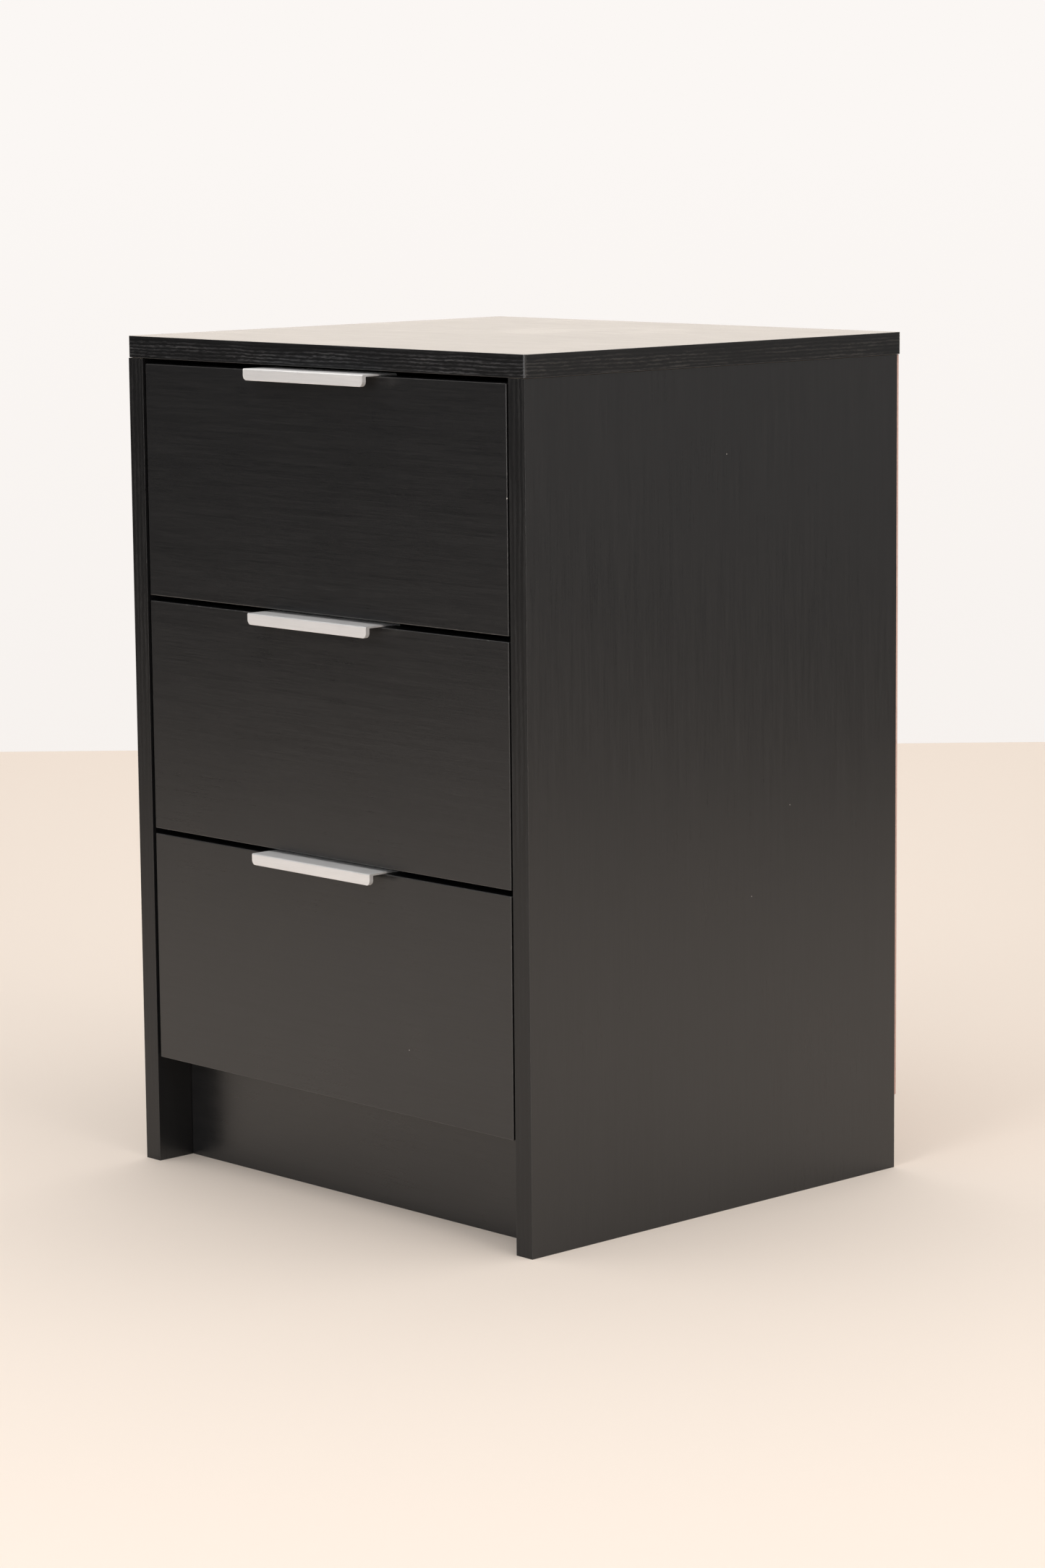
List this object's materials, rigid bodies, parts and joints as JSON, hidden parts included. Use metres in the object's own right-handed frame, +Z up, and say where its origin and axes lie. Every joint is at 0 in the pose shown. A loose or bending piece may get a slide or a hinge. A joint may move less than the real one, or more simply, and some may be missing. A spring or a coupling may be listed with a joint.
{
  "type": "nightstand with drawers",
  "caption": "Narrow bedside cabinet in dark wood-grain board with stacked inset drawers on roller runners and slim folded aluminium edge pulls.",
  "frame": {"origin": "on the floor, under the middle of the whole piece with its handles and with the drawers closed", "axes": "+Z up, the drawers open towards -Y, +X to the right of a person facing the drawers"},
  "size_m": [0.4016, 0.3674, 0.585],
  "materials": {
    "carcass_board": "black-brown melamine with a fine wood grain, satin",
    "front_board": "black-brown melamine with a level wood grain, satin",
    "back_hardboard": "thin hardboard with a dark printed inner face",
    "drawer_base_hardboard": "thin smooth hardboard",
    "drawer_foil": "dark foil-wrapped board",
    "runner_steel": "cream powder coat",
    "roller_nylon": "natural nylon",
    "pull_aluminium": "satin anodised, brushed along its length",
    "fitting_zinc": "dull zinc plating"
  },
  "bodies": {
    "cabinet": {"top_panel": "carcass_board", "side_panel_left": "carcass_board", "side_panel_right": "carcass_board", "plinth_board": "carcass_board", "bottom_panel": "carcass_board", "back_panel": "back_hardboard", "cam_fitting_left_front": "fitting_zinc", "cam_fitting_left_rear": "fitting_zinc", "cam_fitting_right_front": "fitting_zinc", "cam_fitting_right_rear": "fitting_zinc", "fixed_rail_bottom_left": "runner_steel", "fixed_rail_bottom_right": "runner_steel", "fixed_rail_middle_left": "runner_steel", "fixed_rail_middle_right": "runner_steel", "fixed_rail_top_left": "runner_steel", "fixed_rail_top_right": "runner_steel"},
    "drawer_bottom": {"drawer_front_bottom": "front_board", "handle_bottom": "pull_aluminium", "handle_screw_bottom_left": "fitting_zinc", "handle_screw_bottom_right": "fitting_zinc", "drawer_side_bottom_left": "drawer_foil", "drawer_side_bottom_right": "drawer_foil", "drawer_back_bottom": "drawer_foil", "drawer_base_bottom": "drawer_base_hardboard", "sliding_rail_bottom_left": "runner_steel", "sliding_rail_bottom_right": "runner_steel"},
    "fixed_roller_bottom_left": {"fixed_roller_bottom_left": "roller_nylon"},
    "sliding_roller_bottom_left": {"sliding_roller_bottom_left": "roller_nylon"},
    "fixed_roller_bottom_right": {"fixed_roller_bottom_right": "roller_nylon"},
    "sliding_roller_bottom_right": {"sliding_roller_bottom_right": "roller_nylon"},
    "drawer_middle": {"drawer_front_middle": "front_board", "handle_middle": "pull_aluminium", "handle_screw_middle_left": "fitting_zinc", "handle_screw_middle_right": "fitting_zinc", "drawer_side_middle_left": "drawer_foil", "drawer_side_middle_right": "drawer_foil", "drawer_back_middle": "drawer_foil", "drawer_base_middle": "drawer_base_hardboard", "sliding_rail_middle_left": "runner_steel", "sliding_rail_middle_right": "runner_steel"},
    "fixed_roller_middle_left": {"fixed_roller_middle_left": "roller_nylon"},
    "sliding_roller_middle_left": {"sliding_roller_middle_left": "roller_nylon"},
    "fixed_roller_middle_right": {"fixed_roller_middle_right": "roller_nylon"},
    "sliding_roller_middle_right": {"sliding_roller_middle_right": "roller_nylon"},
    "drawer_top": {"drawer_front_top": "front_board", "handle_top": "pull_aluminium", "handle_screw_top_left": "fitting_zinc", "handle_screw_top_right": "fitting_zinc", "drawer_side_top_left": "drawer_foil", "drawer_side_top_right": "drawer_foil", "drawer_back_top": "drawer_foil", "drawer_base_top": "drawer_base_hardboard", "sliding_rail_top_left": "runner_steel", "sliding_rail_top_right": "runner_steel"},
    "fixed_roller_top_left": {"fixed_roller_top_left": "roller_nylon"},
    "sliding_roller_top_left": {"sliding_roller_top_left": "roller_nylon"},
    "fixed_roller_top_right": {"fixed_roller_top_right": "roller_nylon"},
    "sliding_roller_top_right": {"sliding_roller_top_right": "roller_nylon"}
  },
  "joints": [
    {"name": "drawer_bottom_slide", "type": "slide", "parent": "cabinet", "child": "drawer_bottom", "axis": [0, -1, 0], "range_m": [0, 0.225]},
    {"name": "fixed_roller_bottom_left_spin", "type": "hinge", "parent": "cabinet", "child": "fixed_roller_bottom_left", "pos_m": [-0.17925, -0.1418, 0.0983], "axis": [1, 0, 0], "continuous": true},
    {"name": "sliding_roller_bottom_left_spin", "type": "hinge", "parent": "drawer_bottom", "child": "sliding_roller_bottom_left", "pos_m": [-0.17775, 0.1348, 0.0983], "axis": [1, 0, 0], "continuous": true},
    {"name": "fixed_roller_bottom_right_spin", "type": "hinge", "parent": "cabinet", "child": "fixed_roller_bottom_right", "pos_m": [0.17925, -0.1418, 0.0983], "axis": [1, 0, 0], "continuous": true},
    {"name": "sliding_roller_bottom_right_spin", "type": "hinge", "parent": "drawer_bottom", "child": "sliding_roller_bottom_right", "pos_m": [0.17775, 0.1348, 0.0983], "axis": [1, 0, 0], "continuous": true},
    {"name": "drawer_middle_slide", "type": "slide", "parent": "cabinet", "child": "drawer_middle", "axis": [0, -1, 0], "range_m": [0, 0.225]},
    {"name": "fixed_roller_middle_left_spin", "type": "hinge", "parent": "cabinet", "child": "fixed_roller_middle_left", "pos_m": [-0.17925, -0.1418, 0.26297], "axis": [1, 0, 0], "continuous": true},
    {"name": "sliding_roller_middle_left_spin", "type": "hinge", "parent": "drawer_middle", "child": "sliding_roller_middle_left", "pos_m": [-0.17775, 0.1348, 0.26297], "axis": [1, 0, 0], "continuous": true},
    {"name": "fixed_roller_middle_right_spin", "type": "hinge", "parent": "cabinet", "child": "fixed_roller_middle_right", "pos_m": [0.17925, -0.1418, 0.26297], "axis": [1, 0, 0], "continuous": true},
    {"name": "sliding_roller_middle_right_spin", "type": "hinge", "parent": "drawer_middle", "child": "sliding_roller_middle_right", "pos_m": [0.17775, 0.1348, 0.26297], "axis": [1, 0, 0], "continuous": true},
    {"name": "drawer_top_slide", "type": "slide", "parent": "cabinet", "child": "drawer_top", "axis": [0, -1, 0], "range_m": [0, 0.225]},
    {"name": "fixed_roller_top_left_spin", "type": "hinge", "parent": "cabinet", "child": "fixed_roller_top_left", "pos_m": [-0.17925, -0.1418, 0.42763], "axis": [1, 0, 0], "continuous": true},
    {"name": "sliding_roller_top_left_spin", "type": "hinge", "parent": "drawer_top", "child": "sliding_roller_top_left", "pos_m": [-0.17775, 0.1348, 0.42763], "axis": [1, 0, 0], "continuous": true},
    {"name": "fixed_roller_top_right_spin", "type": "hinge", "parent": "cabinet", "child": "fixed_roller_top_right", "pos_m": [0.17925, -0.1418, 0.42763], "axis": [1, 0, 0], "continuous": true},
    {"name": "sliding_roller_top_right_spin", "type": "hinge", "parent": "drawer_top", "child": "sliding_roller_top_right", "pos_m": [0.17775, 0.1348, 0.42763], "axis": [1, 0, 0], "continuous": true}
  ],
  "couplings": [
    {"joint": "fixed_roller_bottom_left_spin", "follows": "drawer_bottom_slide", "rad_per_m": 125},
    {"joint": "sliding_roller_bottom_left_spin", "follows": "drawer_bottom_slide", "rad_per_m": 125},
    {"joint": "fixed_roller_bottom_right_spin", "follows": "drawer_bottom_slide", "rad_per_m": 125},
    {"joint": "sliding_roller_bottom_right_spin", "follows": "drawer_bottom_slide", "rad_per_m": 125},
    {"joint": "fixed_roller_middle_left_spin", "follows": "drawer_middle_slide", "rad_per_m": 125},
    {"joint": "sliding_roller_middle_left_spin", "follows": "drawer_middle_slide", "rad_per_m": 125},
    {"joint": "fixed_roller_middle_right_spin", "follows": "drawer_middle_slide", "rad_per_m": 125},
    {"joint": "sliding_roller_middle_right_spin", "follows": "drawer_middle_slide", "rad_per_m": 125},
    {"joint": "fixed_roller_top_left_spin", "follows": "drawer_top_slide", "rad_per_m": 125},
    {"joint": "sliding_roller_top_left_spin", "follows": "drawer_top_slide", "rad_per_m": 125},
    {"joint": "fixed_roller_top_right_spin", "follows": "drawer_top_slide", "rad_per_m": 125},
    {"joint": "sliding_roller_top_right_spin", "follows": "drawer_top_slide", "rad_per_m": 125}
  ]
}
